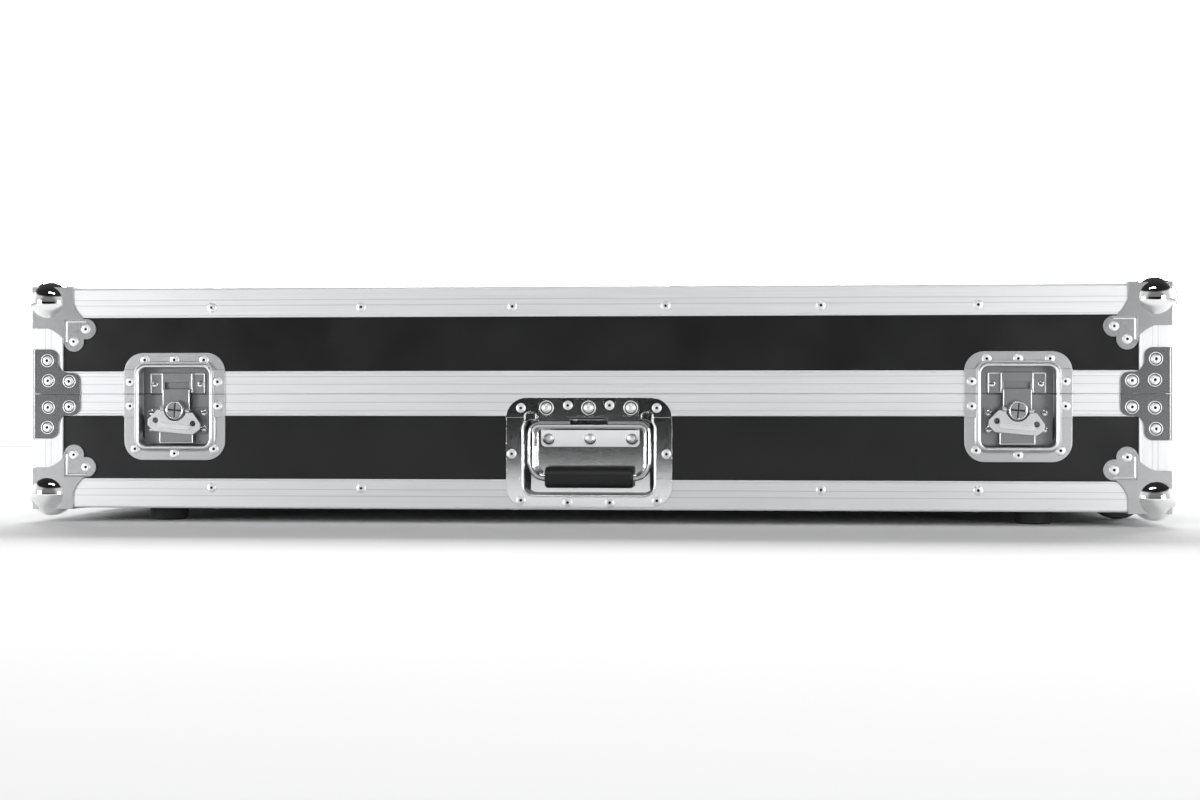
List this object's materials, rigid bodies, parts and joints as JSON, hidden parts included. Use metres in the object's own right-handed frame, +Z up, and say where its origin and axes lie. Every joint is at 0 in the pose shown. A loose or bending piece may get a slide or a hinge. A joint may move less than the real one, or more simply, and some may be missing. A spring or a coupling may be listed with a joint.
{
  "type": "synthesizer flight case",
  "caption": "Long hinged-lid road case with aluminium edges, ball corners, recessed turn latches, sprung handles, rubber feet and edge wheels.",
  "frame": {"origin": "on the floor under the middle of the case", "axes": "+X along the length, to the right as the latches are faced; +Y from the front to the hinged back; +Z up"},
  "size_m": [1.1888, 0.438, 0.254],
  "materials": {
    "laminated_ply": "phenolic laminate, satin",
    "lining_foam": "charcoal open-cell foam",
    "anodised_aluminium": "extruded, clear anodised",
    "black_rubber": "moulded, matt",
    "wheel_rubber": "moulded tread",
    "wheel_plastic": "moulded nylon",
    "bright_corner_steel": "bright nickel plate",
    "corner_steel": "zinc plated, grey",
    "zinc_plated_steel": "bright zinc plate"
  },
  "bodies": {
    "base": {"base_floor_panel": "laminated_ply", "base_front_panel": "laminated_ply", "base_rear_panel": "laminated_ply", "base_left_panel": "laminated_ply", "base_right_panel": "laminated_ply", "base_front_edge": "anodised_aluminium", "base_rear_edge": "anodised_aluminium", "base_end_edges": "anodised_aluminium", "base_corner_posts": "anodised_aluminium", "base_front_rim": "anodised_aluminium", "base_rear_rim": "anodised_aluminium", "base_end_rims": "anodised_aluminium", "base_ball_corners": "bright_corner_steel", "base_corner_braces": "corner_steel", "base_foam": "lining_foam", "rubber_feet": "black_rubber", "foot_screws": "zinc_plated_steel", "wheel_housings": "zinc_plated_steel", "wheel_axles": "zinc_plated_steel", "latch_base_dishes": "zinc_plated_steel", "latch_mount_plates": "zinc_plated_steel", "handle_dishes": "zinc_plated_steel", "handle_brackets": "zinc_plated_steel", "handle_springs": "zinc_plated_steel", "hinge_base_leaves": "zinc_plated_steel", "hinge_pins": "zinc_plated_steel"},
    "lid": {"lid_top_panel": "laminated_ply", "lid_front_panel": "laminated_ply", "lid_rear_panel": "laminated_ply", "lid_end_panels": "laminated_ply", "lid_front_edge": "anodised_aluminium", "lid_rear_edge": "anodised_aluminium", "lid_end_edges": "anodised_aluminium", "lid_corner_posts": "anodised_aluminium", "lid_front_rim": "anodised_aluminium", "lid_rear_rim": "anodised_aluminium", "lid_end_rims": "anodised_aluminium", "lid_ball_corners": "bright_corner_steel", "lid_corner_braces": "corner_steel", "lid_foam": "lining_foam", "latch_lid_dishes": "zinc_plated_steel", "latch_keepers": "zinc_plated_steel", "hinge_lid_leaves": "zinc_plated_steel"},
    "front_handle": {"front_handle_bail": "zinc_plated_steel", "front_handle_grip": "black_rubber"},
    "left_handle": {"left_handle_bail": "zinc_plated_steel", "left_handle_grip": "black_rubber"},
    "front_wheel": {"front_wheel_tyre": "wheel_rubber", "front_wheel_hub": "wheel_plastic"},
    "rear_wheel": {"rear_wheel_tyre": "wheel_rubber", "rear_wheel_hub": "wheel_plastic"},
    "left_cam": {"left_latch_cam": "zinc_plated_steel"},
    "left_hook": {"left_latch_hook": "zinc_plated_steel"},
    "left_wing": {"left_latch_wing": "zinc_plated_steel"},
    "right_cam": {"right_latch_cam": "zinc_plated_steel"},
    "right_hook": {"right_latch_hook": "zinc_plated_steel"},
    "right_wing": {"right_latch_wing": "zinc_plated_steel"}
  },
  "joints": [
    {"name": "lid_hinge", "type": "hinge", "parent": "base", "child": "lid", "pos_m": [0, 0.2139, 0.1343], "axis": [-1, 0, 0], "range_deg": [0, 95]},
    {"name": "front_handle_swing", "type": "hinge", "parent": "base", "child": "front_handle", "pos_m": [0, -0.2032, 0.102], "axis": [-1, 0, 0], "range_deg": [0, 90], "stiffness_Nm_per_rad": 0.12, "springref_deg": -28.65},
    {"name": "left_handle_swing", "type": "hinge", "parent": "base", "child": "left_handle", "pos_m": [-0.5787, 0, 0.102], "axis": [0, 1, 0], "range_deg": [0, 90], "stiffness_Nm_per_rad": 0.12, "springref_deg": -28.65},
    {"name": "front_wheel_spin", "type": "hinge", "parent": "base", "child": "front_wheel", "pos_m": [0.5555, -0.08, 0.032], "axis": [0, 1, 0], "continuous": true},
    {"name": "rear_wheel_spin", "type": "hinge", "parent": "base", "child": "rear_wheel", "pos_m": [0.5555, 0.08, 0.032], "axis": [0, 1, 0], "continuous": true},
    {"name": "left_latch_turn", "type": "hinge", "parent": "base", "child": "left_cam", "pos_m": [-0.435, -0.2, 0.1175], "axis": [0, 1, 0], "range_deg": [0, 180]},
    {"name": "left_hook_lift", "type": "slide", "parent": "base", "child": "left_hook", "axis": [0, 0, 1], "range_m": [0, 0.006]},
    {"name": "left_wing_fold", "type": "hinge", "parent": "left_cam", "child": "left_wing", "pos_m": [-0.435, -0.2071, 0.1175], "axis": [-0.9962, 0, 0.0872], "range_deg": [0, 90]},
    {"name": "right_latch_turn", "type": "hinge", "parent": "base", "child": "right_cam", "pos_m": [0.435, -0.2, 0.1175], "axis": [0, 1, 0], "range_deg": [0, 180]},
    {"name": "right_hook_lift", "type": "slide", "parent": "base", "child": "right_hook", "axis": [0, 0, 1], "range_m": [0, 0.006]},
    {"name": "right_wing_fold", "type": "hinge", "parent": "right_cam", "child": "right_wing", "pos_m": [0.435, -0.2071, 0.1175], "axis": [-0.9962, 0, 0.0872], "range_deg": [0, 90]}
  ],
  "couplings": [
    {"joint": "left_hook_lift", "follows": "left_latch_turn", "m_per_rad": 0.0019099},
    {"joint": "right_hook_lift", "follows": "right_latch_turn", "m_per_rad": 0.0019099}
  ]
}
